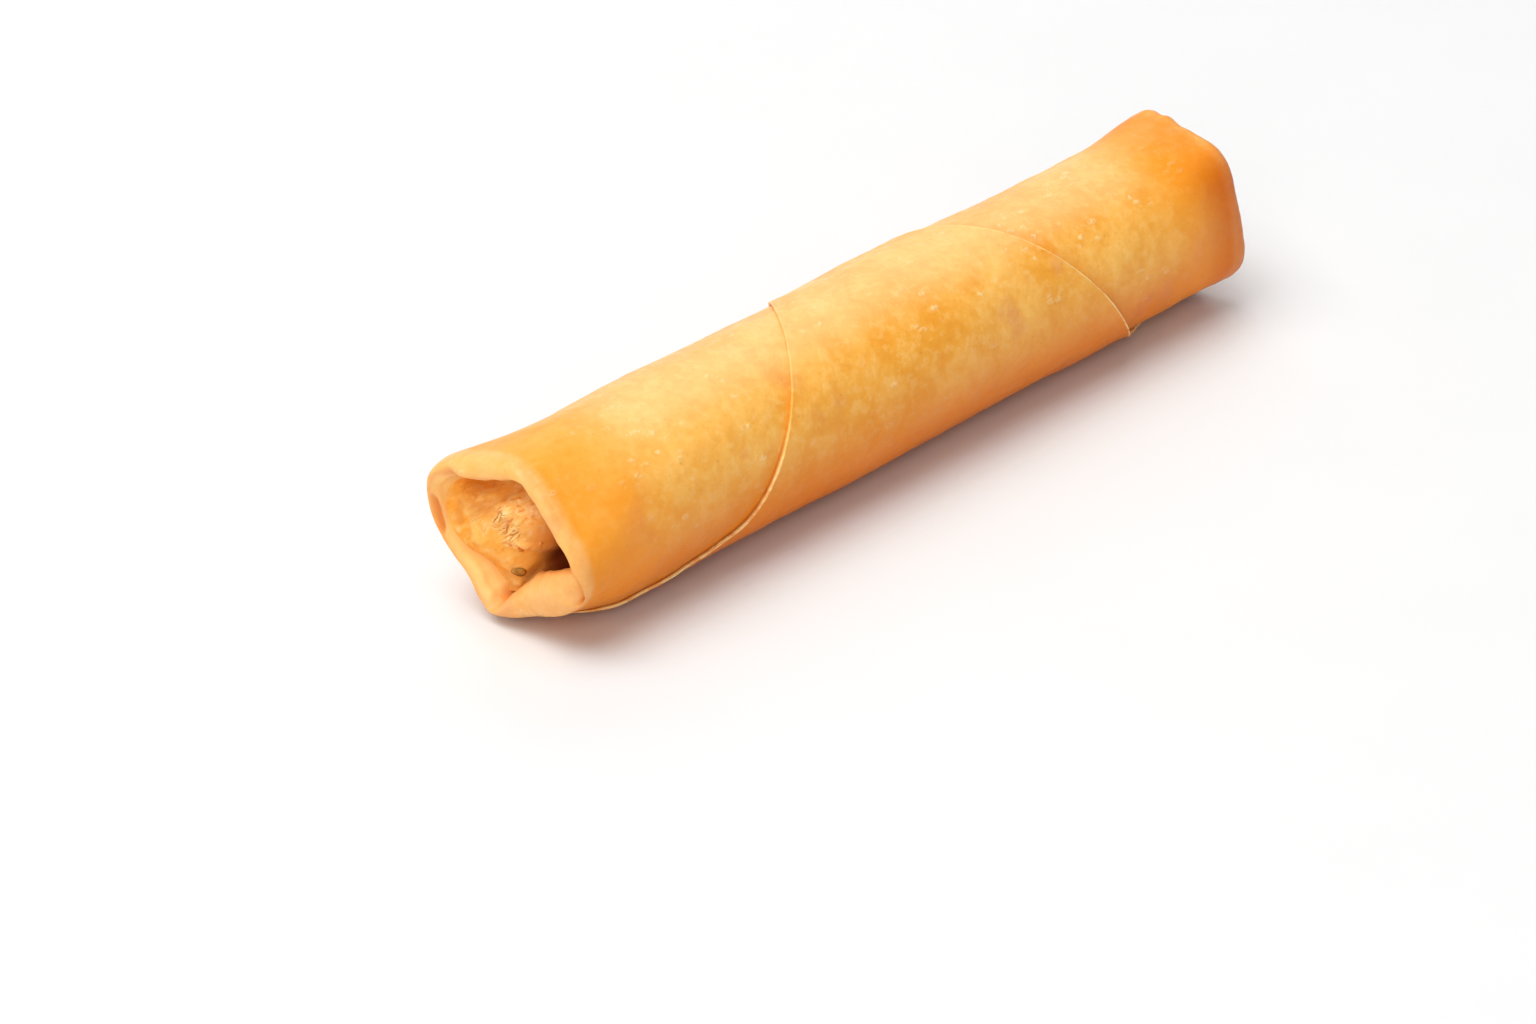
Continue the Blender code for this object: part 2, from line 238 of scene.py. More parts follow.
def closed_curve(points, degrees):
    """Radius at each angle, on the smooth closed curve through the outline's points."""
    angle, radius = np.array(points, dtype=float).T
    before = np.roll(angle, 1) - np.where(np.arange(len(angle)) == 0, 360.0, 0.0)
    after = np.roll(angle, -1) + np.where(np.arange(len(angle)) == len(angle) - 1, 360.0, 0.0)
    slope = (np.roll(radius, -1) - np.roll(radius, 1)) / (after - before)
    turned = (np.asarray(degrees) - angle[0]) % 360.0 + angle[0]
    low = np.searchsorted(angle, turned, side="right") - 1
    high = (low + 1) % len(angle)
    span = after[low] - angle[low]
    share = (turned - angle[low]) / span
    rise = share * share * (3.0 - 2.0 * share)
    leave = share * (1.0 - share) ** 2
    arrive = share * share * (share - 1.0)
    return (radius[low] + (radius[high] - radius[low]) * rise
            + span * (slope[low] * leave + slope[high] * arrive))


def edge_turn(x):
    """How far round the roll, from its corner, the flap's edge has run at x."""
    turns = []
    for offset in (-1.0, -0.5, 0.0, 0.5, 1.0):
        at = x + offset * EDGE_SMOOTH
        away = np.hypot(at - CORNER_X, CORNER_ROUND) - CORNER_ROUND
        reach, turn = np.array(FRONT_EDGE if at < CORNER_X else BACK_EDGE).T
        turns.append(float(np.interp(away, reach, turn)))
    return sum(turns) / len(turns)


def end_blend(x, end):
    """1 at an end's rim, falling to 0 on the round body."""
    return smooth_step(1.0 - (LENGTH / 2 - end * x) / END_BLEND)


def layer_fade(x):
    """The layers' steps are pressed together towards the ends."""
    return 1.0 - 0.8 * (end_blend(x, -1) + end_blend(x, 1))


def outer_radius(x, degrees, turn):
    """Radius of the wrapper's outside, turn being the angle run since the flap's corner."""
    share = x / LENGTH + 0.5
    body = RADIUS_FRONT + (RADIUS_BACK - RADIUS_FRONT) * share
    body = body + SWELL * np.sin(2.0 * np.pi * x / SWELL_LENGTH + np.radians(degrees))
    front = closed_curve(FRONT_RIM, degrees) - body
    back = closed_curve(BACK_RIM, degrees) - body
    drop = SHEET * turn / 360.0 * layer_fade(x)
    pucker = sum(height * np.exp(-((signed(degrees) - at) / spread) ** 2) for at, spread, height in KNOBS)
    pucker = pucker * smooth_step(1.0 - (LENGTH / 2 - x) / KNOB_LENGTH)
    return body + end_blend(x, -1) * front + end_blend(x, 1) * back + pucker - drop


def rim_width(end, degrees):
    """Width of a rim, from its outside to the edge of its mouth."""
    rim, mouth = (FRONT_RIM, FRONT_MOUTH) if end < 0 else (BACK_RIM, BACK_MOUTH)
    return np.maximum(closed_curve(rim, degrees) - closed_curve(mouth, degrees), RIM_MIN)


def inner_radius(x, degrees):
    """Radius of the wrapper's inside."""
    wall = np.full_like(degrees, WALL)
    for end in (-1, 1):
        thin = np.minimum(rim_width(end, degrees), WALL)
        wall += end_blend(x, end) * (thin - WALL)
    return outer_radius(x, degrees, 0.0) - SHEET - wall


def throat_radius(end, degrees, turn):
    """Radius of the wrapper's inside just behind a rim."""
    inner = inner_radius(end * (LENGTH / 2 - RIM_BEND), degrees)
    outside = outer_radius(end * LENGTH / 2, degrees, turn)
    return np.maximum(inner - SHEET * turn / 3600.0, outside - rim_width(end, degrees))


def place(x, degrees, radius):
    """Points at these angles and radii on the section at x."""
    angle = np.radians(degrees)
    depth = np.broadcast_to(x, angle.shape)
    return np.stack([depth, -radius * np.sin(angle), radius * np.cos(angle)], axis=-1)


def grain(points, length, seed, octaves=1):
    """Soft noise from -1 to 1 at the points, its bumps about this length apart."""
    scaled = points / length + seed * 7.31
    if octaves == 1:
        return np.array([noise.noise(Vector(point)) for point in scaled])
    return np.array([noise.fractal(Vector(point), 0.6, 2.1, octaves) for point in scaled])


def add_mesh(name, points, faces, finish):
    """A smooth-shaded mesh object in the row's frame."""
    mesh = bpy.data.meshes.new(name)
    mesh.from_pydata(points.tolist(), [], faces)
    mesh.materials.append(finish)
    mesh.shade_smooth()
    made = bpy.data.objects.new(name, mesh)
    bpy.context.scene.collection.objects.link(made)
    return made


def add_measure(piece, name, values):
    """Stores one number for each point, which a finish reads by name."""
    layer = piece.data.attributes.new(name, "FLOAT", "POINT")
    layer.data.foreach_set("value", np.asarray(values, dtype=np.float32))


def loft(size, count, closed):
    """Faces that join each ring of points to the next."""
    faces = []
    for low in range(count if closed else count - 1):
        high = (low + 1) % count
        for step in range(size):
            after = (step + 1) % size
            faces.append((low * size + step, low * size + after,
                          high * size + after, high * size + step))
    if not closed:
        faces.append(tuple(range(size))[::-1])
        faces.append(tuple((count - 1) * size + step for step in range(size)))
    return faces


# ---------------------------------------------------------------- shader helpers

class Wire:
    """A socket whose value is used in sums like a number."""

    def __init__(self, finish, socket):
        self.finish = finish
        self.socket = socket

    def maths(self, operation, *values, clamp=False):
        settings = {"operation": operation, "use_clamp": clamp}
        return self.finish.node("ShaderNodeMath", settings, dict(enumerate(values)))["Value"]

    def __add__(self, other):
        return self.maths("ADD", self, other)

    __radd__ = __add__

    def __sub__(self, other):
        return self.maths("SUBTRACT", self, other)

    def __rsub__(self, other):
        return self.maths("SUBTRACT", other, self)

    def __mul__(self, other):
        return self.maths("MULTIPLY", self, other)

    __rmul__ = __mul__

    def larger(self, other):
        """The larger of the two values."""
        return self.maths("MAXIMUM", self, other)

    def clamped(self):
        """The same value, cut off below 0 and above 1."""
        return self.maths("ADD", self, 0.0, clamp=True)

    def ramp(self, low, high):
        """0 at low and 1 at high, smooth between; low may be the larger."""
        settings = {"interpolation_type": "SMOOTHSTEP"}
        limits = {"Value": self, "From Min": low, "From Max": high, "To Min": 0.0, "To Max": 1.0}
        if low > high:
            limits.update({"From Min": high, "From Max": low, "To Min": 1.0, "To Max": 0.0})
        return self.finish.node("ShaderNodeMapRange", settings, limits)["Result"]


class Finish:
    """A material under construction: its nodes, and the shader that they feed."""

    def __init__(self, name):
        self.material = bpy.data.materials.new(name)
        self.material.use_nodes = True
        self.tree = self.material.node_tree
        self.surface = self.tree.nodes["Principled BSDF"]
        self.place = self.node("ShaderNodeTexCoord", {}, {})["Object"]

    def join(self, value, socket):
        """Links a wire to a socket, or sets the socket's own value."""
        if isinstance(value, Wire):
            self.tree.links.new(value.socket, socket)
        else:
            socket.default_value = value

    def node(self, kind, settings, sockets):
        """Adds a node with its settings, then its sockets' values or links. Returns its outputs."""
        made = self.tree.nodes.new(kind)
        for name, value in settings.items():
            setattr(made, name, value)
        for key, value in sockets.items():
            self.join(value, made.inputs[key])
        return {output.name: Wire(self, output) for output in made.outputs if output.enabled}

    def mix(self, share, first, second):
        """A colour between two, by a share from 0 to 1."""
        sockets = {0: share, 6: colour(first), 7: colour(second)}
        return self.node("ShaderNodeMix", {"data_type": "RGBA"}, sockets)["Result"]

    def noise(self, scale, detail=2.0, rough=0.5, warp=0.0, where=None):
        sockets = {"Vector": where or self.place, "Scale": scale, "Detail": detail,
                   "Roughness": rough, "Distortion": warp}
        return self.node("ShaderNodeTexNoise", {}, sockets)["Fac"]

    def cells(self, scale, where):
        """Distance from the nearest of many scattered points."""
        sockets = {"Vector": where, "Scale": scale}
        return self.node("ShaderNodeTexVoronoi", {"feature": "F1"}, sockets)["Distance"]

    def shifted(self, offset):
        """The place on the piece, moved so that a pattern made from it isn't a repeat."""
        settings = {"operation": "ADD"}
        sockets = {0: self.place, 1: (offset, offset * 0.7, offset * 1.3)}
        return self.node("ShaderNodeVectorMath", settings, sockets)["Vector"]

    def stretched(self):
        """The place on the piece, drawn out so that spots become short slanting dashes."""
        sockets = {"Vector": self.place, "Rotation": (0.3, 0.2, 0.7), "Scale": (0.55, 1.0, 1.0)}
        return self.node("ShaderNodeMapping", {}, sockets)["Vector"]

    def combed(self, slope):
        """The place on the piece, drawn out across an end, along a slope in degrees."""
        settings = {"vector_type": "TEXTURE"}
        sockets = {"Vector": self.place, "Rotation": (math.radians(-slope), 0.0, 0.0),
                   "Scale": (1.0, 6.0, 1.0)}
        return self.node("ShaderNodeMapping", settings, sockets)["Vector"]

    def measure(self, name):
        """A number that the mesh stores for each of its points."""
        return self.node("ShaderNodeAttribute", {"attribute_name": name}, {})["Fac"]

    def relief(self, height, distance, strength):
        sockets = {"Height": height, "Distance": distance, "Strength": strength}
        return self.node("ShaderNodeBump", {}, sockets)["Normal"]

    def put(self, **sockets):
        """Sets or links the shader's own sockets, named with _ for a space."""
        for name, value in sockets.items():
            self.join(value, self.surface.inputs[name.replace("_", " ")])


def colour(value):
    """A colour as Blender wants it, from a wire or from three sRGB shares of 255."""
    if isinstance(value, Wire):
        return value
    shares = [part / 255.0 for part in value]
    linear = [s / 12.92 if s <= 0.04045 else ((s + 0.055) / 1.055) ** 2.4 for s in shares]
    return (*linear, 1.0)


# ---------------------------------------------------------------- finishes

def fried_wrapper():
    """Golden fried pastry: mottled, finely blistered, browner at the ends, with painted shade by the
    seams, in the mouths and creases and partly low down, and painted light on the crown, the flap's edge
    and the far wall.
    """
    made = Finish("fried_wrapper")
    seam = made.measure("seam")
    rim = made.measure("rim")
    inside = made.measure("inside")
    back = made.measure("back")
    low = made.measure("low")
    fold = made.measure("fold")
    broad = made.noise(48.0, 2.0, 0.5)
    patchy = made.noise(170.0, 3.0, 0.55, 0.4)
    mottle = made.noise(340.0, 3.0, 0.6, 0.3)
    fine = made.noise(800.0, 3.0, 0.62)
    grit = made.noise(2300.0, 2.0, 0.6)

    gold = made.mix(broad.ramp(0.38, 0.62), (240, 164, 54), (246, 181, 82))
    gold = made.mix(patchy.ramp(0.46, 0.68) * 0.32, gold, (250, 198, 108))
    gold = made.mix(patchy.ramp(0.50, 0.32) * 0.24, gold, (232, 148, 34))
    gold = made.mix(mottle.ramp(0.48, 0.68) * 0.24, gold, (251, 200, 106))
    gold = made.mix(mottle.ramp(0.50, 0.34) * 0.20, gold, (230, 144, 36))
    gold = made.mix(fine.ramp(0.50, 0.64) * 0.26, gold, (252, 208, 128))
    gold = made.mix(fine.ramp(0.46, 0.34) * 0.22, gold, (228, 142, 36))

    # Small pale blisters, and smaller dark pits
    blister = made.cells(640.0, made.stretched())
    blistered = blister.ramp(0.34, 0.16) * made.noise(150.0, 2.0, 0.5).ramp(0.48, 0.62)
    blistered = blistered * made.noise(1300.0, 2.0, 0.6).ramp(0.40, 0.60)
    gold = made.mix(blistered * 0.50, gold, (255, 228, 168))
    pit = made.cells(430.0, made.shifted(0.37)).ramp(0.11, 0.04)
    gold = made.mix(pit * 0.30, gold, (196, 100, 30))

    # Painted highlight: the crown is painted palest, where the overhead light falls.
    gold = made.mix(made.measure("painted_crown_highlight") * 0.34, gold, (255, 206, 150))
    # The low side is deeper in colour, partly from the oil and partly as painted shade.
    gold = made.mix(low * 0.90, gold, (228, 118, 0))

    # The filling shows through as pinkish brown where the wrapper is thin.
    thin = made.noise(120.0, 2.0, 0.5, where=made.shifted(1.7))
    flank = made.measure("flank")
    showing = thin.ramp(0.59, 0.74) * (0.30 + grit * 0.9) * (0.15 + flank * 0.85)
    gold = made.mix(showing * 0.46, gold, (214, 116, 84))

    # Browner ends, most of all the back one
    near_end = rim + broad * 9.0 - 4.5
    gold = made.mix(near_end.ramp(20.0, 7.0) * 0.62 * (1.0 - fold), gold, (246, 146, 18))
    browned = near_end.ramp(11.0, 0.5) * back * (0.30 + flank * 0.70)
    gold = made.mix(browned * 0.90, gold, (206, 92, 2))

    # The folded rims are painted paler, less so at the back end.
    pale_fold = fold * (1.0 - back * 0.7)
    gold = made.mix(pale_fold * (0.15 + mottle * 0.6), gold, (250, 178, 118))

    # Painted shadow: a darker orange band on the layer below, against the flap's edge, partly oil and
    # partly painted shadow; the edge itself gets a painted highlight.
    strong = made.measure("side").larger(back * 0.65)
    outer = seam.ramp(0.02, -0.02)
    gold = made.mix(seam.ramp(-4.5, -0.4) * outer * (0.02 + strong * 0.48), gold, (226, 130, 20))
    gold = made.mix(seam.ramp(-0.75, -0.25) * outer * (0.06 + strong * 0.60), gold, (214, 110, 8))
    edge = seam.ramp(0.30, 0.12) * seam.ramp(-0.02, 0.02) * (0.14 + strong * 0.66)
    edge = edge * (fine.ramp(0.36, 0.56) * 0.6 + 0.4)
    gold = made.mix(edge, gold, (255, 224, 152))

    # Painted shade inside the mouths, painted light on the far wall, and painted shade in the creases of
    # the folds
    gold = made.mix(inside * 0.7, gold, (240, 138, 28))
    gold = made.mix(made.measure("wall") * 0.85, gold, (255, 208, 128))
    gold = made.mix(made.measure("pleat_shade") * 0.80, gold, (216, 100, 6))

    height = patchy * 0.8 + mottle * 0.5 + fine * 0.35 + grit * 0.10 + blistered * 0.35
    gloss = patchy.ramp(0.3, 0.7) * 0.10 + fine * 0.12
    made.put(Base_Color=gold, Roughness=0.50 - gloss, Normal=made.relief(height, 0.00026, 0.65),
             Subsurface_Weight=0.06, Subsurface_Scale=0.0012, Subsurface_Radius=(1.0, 0.6, 0.2),
             Coat_Weight=0.20 - low * 0.18 - browned * 0.2, Coat_Roughness=0.36,
             Specular_IOR_Level=0.16)
    return made.material


def minced_filling():
    """Moist mince: pale and orange-brown bits and torn fibres under a thin glaze of juice."""
    made = Finish("minced_filling")
    kind = made.measure("kind")
    depth = made.measure("depth")
    broad = made.noise(200.0, 2.0, 0.5, 0.8)
    bits = made.noise(560.0, 3.0, 0.6, 0.5)
    fine = made.noise(1700.0, 3.0, 0.6)

    meat = made.mix(broad.ramp(0.36, 0.62), (252, 170, 62), (255, 190, 92))
    meat = made.mix(bits.ramp(0.54, 0.68) * 0.45, meat, (254, 212, 140))
    meat = made.mix(bits.ramp(0.44, 0.30) * 0.40, meat, (214, 108, 26))
    meat = made.mix(made.noise(300.0, 1.0, 0.5).ramp(0.60, 0.70) * 0.30, meat, (214, 116, 50))

    # Strands have a kind under 0.4, the filling itself 0.5, and lumps more.
    meat = made.mix(kind.ramp(0.47, 0.44) * 0.5, meat, (254, 206, 128))
    meat = made.mix(kind.ramp(0.62, 0.66) * kind.ramp(0.84, 0.80) * 0.7, meat, (250, 196, 112))
    meat = made.mix(kind.ramp(0.86, 0.88) * kind.ramp(0.96, 0.94) * 0.6, meat, (206, 104, 36))

    # The mounds: a ruddier one with painted shade in the groove beside it, paler ones, and the fibres
    # torn across them
    pale = made.measure("pale")
    meat = made.mix(made.measure("ruddy_and_groove_shade") * 0.60, meat, (220, 116, 22))
    meat = made.mix(pale * 0.50, meat, (255, 200, 116))
    fibre = made.noise(1500.0, 2.0, 0.55, 0.3, where=made.combed(FRONT_LAY))
    torn = (pale + 0.25).clamped()
    meat = made.mix(fibre.ramp(0.52, 0.66) * torn * 0.75, meat, (255, 222, 152))
    meat = made.mix(fibre.ramp(0.48, 0.34) * torn * 0.70, meat, (222, 112, 34))

    # Painted shade: the filling is painted browner in shaded patches and darker deeper in the mouth, and
    # the scrap of leaf is dark.
    meat = made.mix(made.measure("shade") * 0.80, meat, (206, 96, 8))
    meat = made.mix(depth * 0.92, meat, (112, 30, 0))
    leaf = made.mix(bits.ramp(0.40, 0.60), (100, 74, 26), (186, 126, 52))
    meat = made.mix(kind.ramp(0.965, 0.975) * 0.9, meat, leaf)

    height = broad * 0.7 + bits * 0.5 + fine * 0.15 + fibre * torn * 1.2
    made.put(Base_Color=meat, Roughness=0.44 + fine * 0.20 + depth * 0.36,
             Normal=made.relief(height, 0.00026, 0.45),
             Coat_Weight=(0.04 + bits.ramp(0.56, 0.66) * 0.5) * (1.0 - depth),
             Coat_Roughness=0.14, Specular_IOR_Level=0.12)
    return made.material


# ---------------------------------------------------------------- wrapper

def ring_at(start):
    """Angles, turns and offsets of a ring that goes once round and ends in the flap's edge.

    The ring starts on top of the flap beside its edge, goes round until it lies under the
    flap, and comes back over the edge: its last few points are the edge of the sheet itself.
    """
    around = 0.5 + (UNDER_FLAP - 0.5) * np.arange(RING_STEPS) / (RING_STEPS - 1)
    edge_turns, edge_drops = np.array(CUT_EDGE).T
    turn = start + np.concatenate([around, edge_turns])
    # The sheet's edge hangs below the flap's own surface, not below the layer under it.
    top = np.concatenate([np.zeros(RING_STEPS), np.full(len(CUT_EDGE), 360.0)])
    drop = np.concatenate([np.zeros(RING_STEPS), edge_drops * SHEET_THICK])
    top[RING_STEPS] = 0.0
    return turn + CORNER_ANGLE, turn - top, drop


def edge_lift(x, turn_from_edge):
    """How far the flap's edge curls up off the layer below."""
    near = np.exp(-np.maximum(turn_from_edge, 0.0) / CURL_FADE)
    uneven = EDGE_CURL + EDGE_CURL * math.sin(x * 410.0) + EDGE_CURL * math.sin(x * 1130.0 + 1.0)
    raised = TIP_LIFT * math.exp(-((x - TIP_X) / TIP_LENGTH) ** 2)
    return (np.maximum(uneven, LEAST_CURL) + raised) * near * layer_fade(x)


def body_rings():
    """The outside of the wrapper, with its distances in mm from the flap's edge and the rims."""
    rings, seams, rims = [], [], []
    half = LENGTH / 2 - RIM_BEND
    for x in np.linspace(-half, half, BODY_STEPS + 1):
        start = edge_turn(x)
        degrees, turn, drop = ring_at(start)
        on_flap = np.where(np.arange(len(turn)) > RING_STEPS, 0.0, turn - start)
        lift = edge_lift(x, on_flap)
        lift[RING_STEPS] = 0.0
        radius = outer_radius(x, degrees, turn) - drop * layer_fade(x) + lift
        rings.append(place(x, degrees, radius))
        ahead = (turn - start) * np.pi / 180 * RADIUS_FRONT * 1000 * EDGE_SLANT
        behind = (turn - start - 360.0) * np.pi / 180 * RADIUS_FRONT * 1000 * EDGE_SLANT
        seam = np.where(ahead < 3.0 * SEAM_REACH, ahead, behind)
        # The cut edge itself gets the painted highlight of the flap's edge, down to the layer below.
        seam[RING_STEPS:] = 0.04
        seam[RING_STEPS] = -0.1
        seams.append(np.clip(seam, -SEAM_REACH, SEAM_REACH))
        rims.append(np.full(len(turn), (LENGTH / 2 - abs(x)) * 1000))
    return rings, seams, rims


def front_pleats(degrees, inwards, width):
    """The front rim's pleats, this far inwards from the outline: extra depth, and painted shade in the
    creases.
    """
    turned = signed(degrees)
    # The bottom lip is tucked behind the near rim, which gets narrower downwards.
    beyond = inwards - NEAR_RIM * np.clip((NEAR_END - turned) / NEAR_TAPER, 0.05, 1.0)
    gate = arc_mask(turned, TUCK_ARC)
    tuck = smooth_step(beyond / TUCK_STEP) * np.exp(-np.maximum(beyond, 0.0) / TUCK_SPREAD)
    depth = TUCK_DEPTH * gate * tuck
    dark = gate * np.exp(-((beyond - CREASE_AT) / CREASE_WIDTH) ** 2)
    # Painted shade on the lip's edge, where it curls into the mouth.
    lip = smooth_step((turned - LIP_FROM) / 8.0)
    dark = dark + 0.3 * lip * smooth_step((inwards - width + 0.0006) / 0.0005)
    # A dent beside the far corner, where the top fold starts, with painted shade in it
    at, arc, middle, spread, sunk = CORNER_DENT
    dent = np.exp(-((turned - at) / arc) ** 2 - ((inwards - middle) / spread) ** 2)
    depth = depth + sunk * dent
    dark = dark + 0.4 * dent
    # The edge of an inner layer, on the far wall, with painted shade in its groove
    gate = arc_mask(turned, LAYER_ARC)
    groove = np.exp(-((inwards - LAYER_INWARDS) / LAYER_WIDTH) ** 2)
    dark = dark + 0.8 * gate * groove
    return depth + LAYER_GROOVE * gate * groove, np.minimum(dark, 1.0)


def rim_rings(end):
    """A rim, from the outside of the wrapper over its fold and into the mouth."""
    degrees, turn, drop = ring_at(edge_turn(end * LENGTH / 2))
    drop = drop * layer_fade(LENGTH / 2)
    outside = outer_radius(end * LENGTH / 2, degrees, turn) - drop
    width = rim_width(end, degrees)
    crest = closed_curve(FRONT_CREST if end < 0 else BACK_CREST, degrees) * width
    sink = closed_curve(FRONT_SINK if end < 0 else BACK_SINK, degrees)
    reach = closed_curve(FRONT_REACH if end < 0 else BACK_REACH, degrees)
    mid = place(end * LENGTH / 2, degrees, outside)
    uneven = grain(mid, 0.0042, 71 + end, 2) * CRUMPLE
    rings, pleats = [], []
    for share in (np.arange(RIM_STEPS) + 1.0) / RIM_STEPS:
        if share < FOLD_SHARE:
            angle = np.pi / 2 * share / FOLD_SHARE
            depth = RIM_BEND * (1.0 - math.sin(angle)) - reach * math.sin(angle)
            inwards = crest * (1.0 - math.cos(angle))
            across = 0.0
        else:
            across = (share - FOLD_SHARE) / (1.0 - FOLD_SHARE)
            depth = sink * across ** 2 - reach
            inwards = crest + (width - crest) * across
        depth = depth + uneven * share
        inwards = inwards + uneven * across
        # Painted shade in the creases, at the front rim only
        dark = np.zeros_like(degrees)
        if end < 0:
            extra, dark = front_pleats(degrees, inwards, width)
            depth = depth + extra
        rings.append(place(end * (LENGTH / 2 - depth), degrees, outside - inwards))
        pleats.append(dark)
    edge_depth = depth
    mouth = outside - inwards
    for share in (0.35, 0.7, 1.0):
        radius = mouth - RIM_TAPER * share
        rings.append(place(end * (LENGTH / 2 - edge_depth - RIM_DEPTH * share), degrees, radius))
    throat = throat_radius(end, degrees, turn)
    deep = inner_radius(end * (LENGTH / 2 - THROAT_LENGTH * END_BLEND), degrees)
    funnel = far_wall(end, degrees)
    for share in (np.arange(THROAT_STEPS) + 1.0) / THROAT_STEPS:
        first = smooth_step(share * 3.0)
        radius = mouth * (1.0 - first) + throat * first
        radius = radius + (deep - radius) * smooth_step(share * 1.4 - 0.4)
        sloping = mouth - RIM_TAPER - FUNNEL_SLOPE * np.sqrt(share)
        radius = radius + (sloping - radius) * funnel
        depth = (edge_depth + RIM_DEPTH) * (1.0 - share) + THROAT_LENGTH * END_BLEND * share
        rings.append(place(end * (LENGTH / 2 - depth), degrees, radius))
    count = len(rings)
    size = len(degrees)
    rims = [np.full(size, 1.0 - min(index / RIM_STEPS, 1.0)) for index in range(count)]
    seams = [np.full(size, SEAM_REACH)] * count
    pleats += [pleats[-1] * 0.5] * (count - len(pleats))
    # Depth into the mouth for its painted shade, less on the far wall
    inner = [smooth_step((i - RIM_STEPS + 3) / 8) * (1.0 - 0.8 * funnel) for i in range(count)]
    return rings, seams, rims, pleats, inner


def far_wall(end, degrees):
    """1 where the wall slopes straight into the front end with no lip, 0 elsewhere."""
    if end > 0:
        return np.zeros_like(degrees)
    return arc_mask(degrees % 360.0, FAR_WALL_ARC)


def inner_rings():
    """The wrapper's inside, from back to front."""
    rings = []
    half = LENGTH / 2 - 0.7 * END_BLEND
    back, front = edge_turn(LENGTH / 2), edge_turn(-LENGTH / 2)
    for x in np.linspace(half, -half, 8):
        share = x / LENGTH + 0.5
        degrees = ring_at(front + (back - front) * share)[0]
        rings.append(place(x, degrees, inner_radius(x, degrees)))
    return rings


def make_wrapper():
    """The wrapper, and how far its own frame is from the row's."""
    body, body_seam, body_rim = body_rings()
    back, back_seam, back_rim, back_pleat, back_deep = rim_rings(1)
    inner = inner_rings()
    front, front_seam, front_rim, front_pleat, front_deep = rim_rings(-1)
    front_angles = ring_at(edge_turn(-LENGTH / 2))[0]
    size = len(body[0])
    rings = body + back + inner + front[::-1]
    seam = body_seam + back_seam + [np.full(size, SEAM_REACH)] * len(inner) + front_seam[::-1]
    rim = body_rim + back_rim + [np.zeros(size)] * len(inner) + front_rim[::-1]
    none = [np.zeros(size)]
    deep = none * len(body) + back_deep + [np.ones(size)] * len(inner) + front_deep[::-1]
    pleat_shade = none * len(body) + back_pleat + none * len(inner) + front_pleat[::-1]
    # Painted light on the far wall of the front mouth
    wall = none * (len(body) + len(back) + len(inner))
    wall += [far_wall(-1, front_angles) * smooth_step((0.5 - row[0]) / 0.4) for row in front_rim[::-1]]

    points = np.concatenate(rings)
    out = points * np.array((0.0, 1.0, 1.0))
    out /= np.linalg.norm(out, axis=1, keepdims=True)
    outside = 1.0 - np.concatenate(deep)
    dent = grain(points, 0.013, 1) * 0.00020 + grain(points, 0.0055, 2) * 0.00009
    pucker = grain(points, 0.0021, 3, 3) * 0.000045
    points = points + out * ((dent + pucker) * outside)[:, None]
    points[:, 2] = np.maximum(points[:, 2], -REST_DROP)

    middle = (points.max(axis=0) + points.min(axis=0)) / 2
    row_middle = (np.array(wrapper_box[0]) + np.array(wrapper_box[1])) / 2
    shift = row_middle - middle
    shift[2] = wrapper_box[0][2] + REST_DROP

    piece = add_mesh("rolled_wrapper", points + shift, loft(size, len(rings), True),
                     fried_wrapper())
    add_measure(piece, "seam", np.concatenate(seam))
    add_measure(piece, "rim", np.concatenate(rim))
    # Painted shade inside the mouths
    add_measure(piece, "inside", np.concatenate(deep))
    # Painted shade in the creases of the front rim's folds
    add_measure(piece, "pleat_shade", np.concatenate(pleat_shade))
    # Painted light on the far wall
    add_measure(piece, "wall", np.concatenate(wall))
    add_measure(piece, "back", smooth_step(points[:, 0] / 0.02))
    count = len(body[0]) * len(body)
    folded = np.zeros(len(points))
    folded[:count] = smooth_step(1.0 - (np.concatenate(body_rim) - 1.4) / 1.2)
    folded[count:] = 1.0
    add_measure(piece, "fold", folded)
    angle = np.degrees(np.arctan2(np.abs(points[:, 1]), points[:, 2]))
    from_end = LENGTH / 2 - np.abs(points[:, 0])
    # Painted highlight on the crown, where the overhead light falls
    painted_crown_highlight = smooth_step((44.0 - angle) / 26.0) * smooth_step((from_end - 0.008) / 0.012)
    add_measure(piece, "painted_crown_highlight", painted_crown_highlight)
    # Low side: partly oil browning, partly painted shade; none on the folded rims
    add_measure(piece, "low", smooth_step((angle - 62.0) / 58.0) * (1.0 - folded))
    # Strength of the painted shadow and highlight along the flap's edge, more on the lower side
    add_measure(piece, "side", smooth_step((angle - 52.0) / 42.0))
    add_measure(piece, "flank", smooth_step((angle - 20.0) / 36.0))
    return piece, shift


# ---------------------------------------------------------------- filling

def hump(right, up, centre, size, turned=0.0):
    """1 at a soft mound's middle, falling to 0 round it; size is its two half widths."""
    angle = math.radians(turned)
    across, above = right - centre[0], up - centre[1]
    first = (across * math.cos(angle) + above * math.sin(angle)) / size[0]
    second = (above * math.cos(angle) - across * math.sin(angle)) / size[1]
    return np.exp(-first ** 2 - second ** 2)


